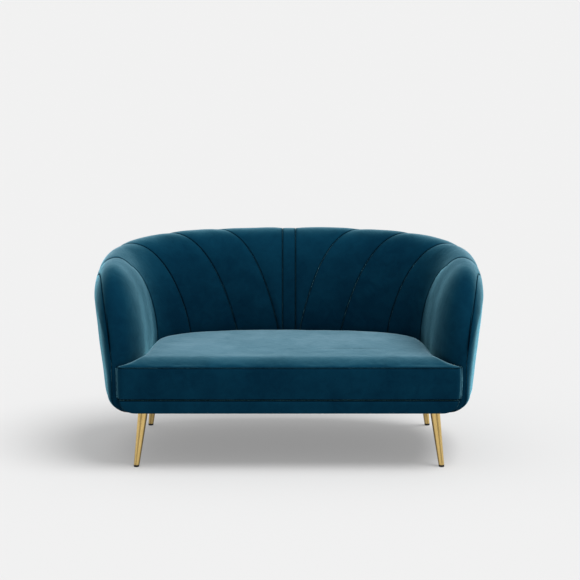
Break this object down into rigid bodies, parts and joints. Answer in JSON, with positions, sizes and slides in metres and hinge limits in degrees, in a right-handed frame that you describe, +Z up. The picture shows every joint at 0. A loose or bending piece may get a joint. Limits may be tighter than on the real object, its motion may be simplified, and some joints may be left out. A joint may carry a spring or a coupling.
{
  "type": "two-seat tub sofa",
  "caption": "Two-seat tub sofa with a curved wrap-around back in fan-shaped velvet channels, a loose bench cushion and splayed tapered brass legs.",
  "frame": {"origin": "on the floor under the middle of the sofa's bounding box", "axes": "+Z up, the sofa faces -Y, +Y towards its back, +X along its width"},
  "size_m": [1.5538, 0.77, 0.8335],
  "materials": {
    "velvet": "matte",
    "foam": "matte",
    "frame_wood": "matte",
    "backing_board": "matte",
    "steel": "satin",
    "leg_brass": "satin",
    "lining_cloth": "matte",
    "glide_plastic": "matte",
    "zip": "satin"
  },
  "bodies": {
    "sofa_body": {"base_rail_back": "frame_wood", "base_rail_center": "frame_wood", "base_rail_front": "frame_wood", "base_rail_left": "frame_wood", "base_rail_right": "frame_wood", "deck_cloth": "lining_cloth", "dust_cover": "lining_cloth", "foot_glide_back_left": "glide_plastic", "foot_glide_back_right": "glide_plastic", "foot_glide_front_left": "glide_plastic", "foot_glide_front_right": "glide_plastic", "front_border": "velvet", "leg_back_left": "leg_brass", "leg_back_right": "leg_brass", "leg_block_back_left": "frame_wood", "leg_block_back_right": "frame_wood", "leg_block_front_left": "frame_wood", "leg_block_front_right": "frame_wood", "leg_front_left": "leg_brass", "leg_front_right": "leg_brass", "leg_plate_back_left": "steel", "leg_plate_back_right": "steel", "leg_plate_front_left": "steel", "leg_plate_front_right": "steel", "liner_arm_left": "backing_board", "liner_arm_right": "backing_board", "liner_back": "backing_board", "outside_arm_left": "velvet", "outside_arm_right": "velvet", "outside_back": "velvet", "pad_arm_left": "velvet", "pad_arm_right": "velvet", "pad_back_inner_left": "velvet", "pad_back_inner_right": "velvet", "pad_back_middle_left": "velvet", "pad_back_middle_right": "velvet", "pad_back_outer_left": "velvet", "pad_back_outer_right": "velvet", "pad_center_strip": "velvet", "pad_corner_left": "velvet", "pad_corner_right": "velvet", "post_arm_front_left": "frame_wood", "post_arm_front_right": "frame_wood", "post_arm_rear_left": "frame_wood", "post_arm_rear_right": "frame_wood", "post_back_inner_left": "frame_wood", "post_back_inner_right": "frame_wood", "post_back_outer_left": "frame_wood", "post_back_outer_right": "frame_wood", "spring_1": "steel", "spring_2": "steel", "spring_3": "steel", "spring_4": "steel", "spring_5": "steel", "top_rail_back": "frame_wood", "top_rail_left": "frame_wood", "top_rail_right": "frame_wood"},
    "seat_cushion": {"cushion_cover": "velvet", "cushion_foam": "foam", "cushion_zip": "zip"}
  },
  "joints": [
    {"name": "cushion_lift", "type": "slide", "parent": "sofa_body", "child": "seat_cushion", "axis": [0, 0, 1], "range_m": [0, 0.56]}
  ]
}
